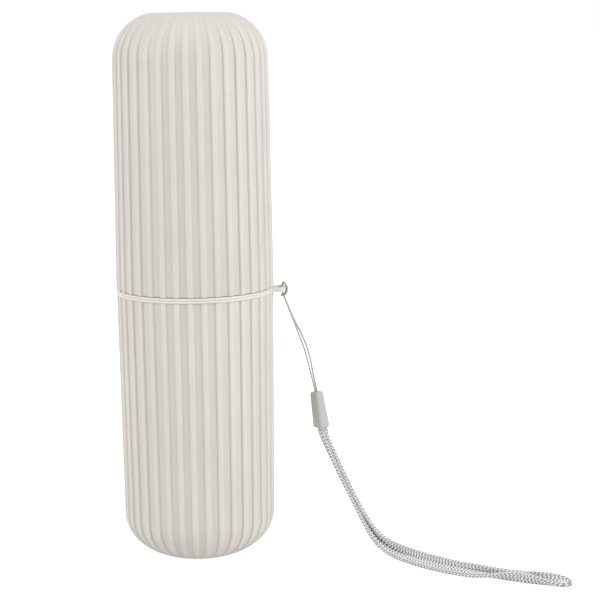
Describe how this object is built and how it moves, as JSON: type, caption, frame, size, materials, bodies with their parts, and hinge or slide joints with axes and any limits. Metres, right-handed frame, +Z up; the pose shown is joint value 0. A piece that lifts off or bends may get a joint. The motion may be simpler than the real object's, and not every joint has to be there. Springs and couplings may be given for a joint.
{
  "type": "toothbrush case",
  "caption": "Upright cylindrical travel toothbrush case in two ribbed halves with a pull-off cap, a swivelling carry ring between them and a braided wrist strap.",
  "frame": {"origin": "centre of the cup's flat base, on the surface that the case stands on", "axes": "+Z up along the case's axis, +X through the carry ring's tab, towards the lanyard"},
  "size_m": [0.1658, 0.0837, 0.205],
  "materials": {
    "shell_plastic": "fine matt moulded, warm off-white",
    "ring_plastic": "satin moulded, warm off-white",
    "cord_thread": "thin woven cord, silver grey",
    "sleeve_plastic": "satin moulded, light grey",
    "crimp_metal": "plain steel, hidden",
    "strap_braid": "flat braid, silver grey and white"
  },
  "bodies": {
    "cup": {"cup": "shell_plastic"},
    "cap": {"cap": "shell_plastic"},
    "carry_ring": {"carry_ring": "ring_plastic", "wrist_cord": "cord_thread", "cord_sleeve": "sleeve_plastic", "strap_crimp": "crimp_metal", "wrist_strap": "strap_braid"}
  },
  "joints": [
    {"name": "cap_pull", "type": "slide", "parent": "cup", "child": "cap", "axis": [0, 0, 1], "range_m": [0, 0.12]},
    {"name": "ring_turn", "type": "hinge", "parent": "cup", "child": "carry_ring", "pos_m": [0, 0, 0.1016], "axis": [0, 0, 1], "continuous": true}
  ]
}
